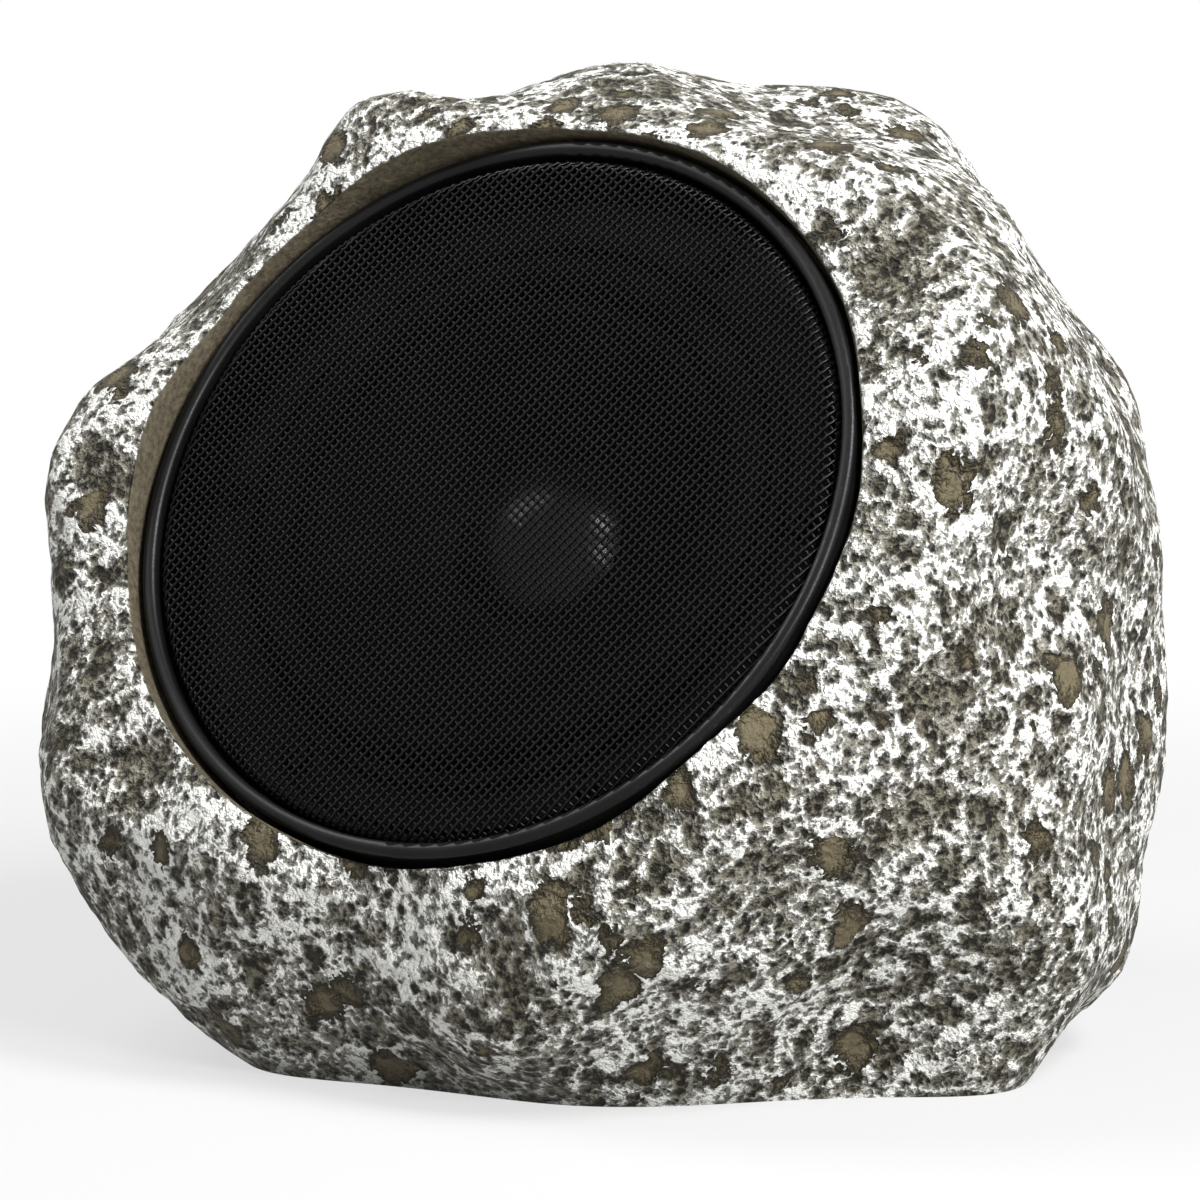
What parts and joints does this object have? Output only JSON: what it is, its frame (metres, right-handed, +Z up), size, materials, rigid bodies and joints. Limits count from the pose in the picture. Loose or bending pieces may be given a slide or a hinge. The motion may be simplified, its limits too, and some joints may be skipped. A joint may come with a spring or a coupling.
{
  "type": "rock shaped garden speaker",
  "caption": "Hollow cast rock outdoor loudspeaker with a round leaning grille over a full range driver, a screwed base plate and a cable gland low at the back.",
  "frame": {"origin": "in the plane of the base plate's underside, below the middle of the rock", "axes": "+Z up, front and grille towards -Y, +X to the right seen from the front"},
  "size_m": [0.2689, 0.252, 0.2444],
  "materials": {
    "rock_resin": "cast resin, pitted like stone and dry brushed in cream",
    "base_plastic": "fine moulded grain",
    "black_plastic": "satin",
    "grille_steel": "powder coated woven wire",
    "chassis_steel": "satin black paint over pressed steel",
    "plated_steel": "zinc plated",
    "ferrite": "dull sintered ferrite",
    "cone_plastic": "moulded polypropylene",
    "cap_plastic": "glossy",
    "former_film": "rolled foil",
    "copper": "enamelled wire",
    "rubber": "soft matt",
    "foam": "closed cell foam",
    "spider_cloth": "resin treated cotton",
    "brass": "turned",
    "board": "pressed phenolic board",
    "block_nylon": "moulded nylon",
    "lead_red": "insulated wire",
    "lead_black": "insulated wire"
  },
  "bodies": {
    "enclosure": {"rock_shell": "rock_resin", "base_plate": "base_plastic", "base_gasket": "foam", "base_inserts": "brass", "base_screws": "plated_steel", "terminal_block": "block_nylon", "clamp_tubes": "brass", "clamp_screws": "plated_steel", "block_screw": "plated_steel", "grille_ring": "black_plastic", "grille_mesh": "grille_steel", "driver_gasket": "foam", "driver_basket": "chassis_steel", "driver_inserts": "brass", "driver_screws": "chassis_steel", "top_plate": "plated_steel", "magnet": "ferrite", "pole_yoke": "plated_steel", "cone_surround": "rubber", "trim_gasket": "rubber", "spider": "spider_cloth", "terminal_board": "board", "terminal_tabs": "plated_steel", "tinsel_leads": "copper", "lead_positive": "lead_red", "lead_negative": "lead_black", "gland_body": "black_plastic", "gland_washer": "rubber", "gland_nut": "black_plastic", "gland_seal": "rubber", "gland_cap": "black_plastic"},
    "diaphragm": {"speaker_cone": "cone_plastic", "dust_cap": "cap_plastic", "coil_former": "former_film", "coil_winding": "copper"}
  },
  "joints": [
    {"name": "cone_travel", "type": "slide", "parent": "enclosure", "child": "diaphragm", "axis": [0, -0.866, 0.5], "range_m": [-0.0035, 0.0035], "stiffness_N_per_m": 1500, "deforming": ["cone_surround", "spider", "tinsel_leads"]}
  ]
}
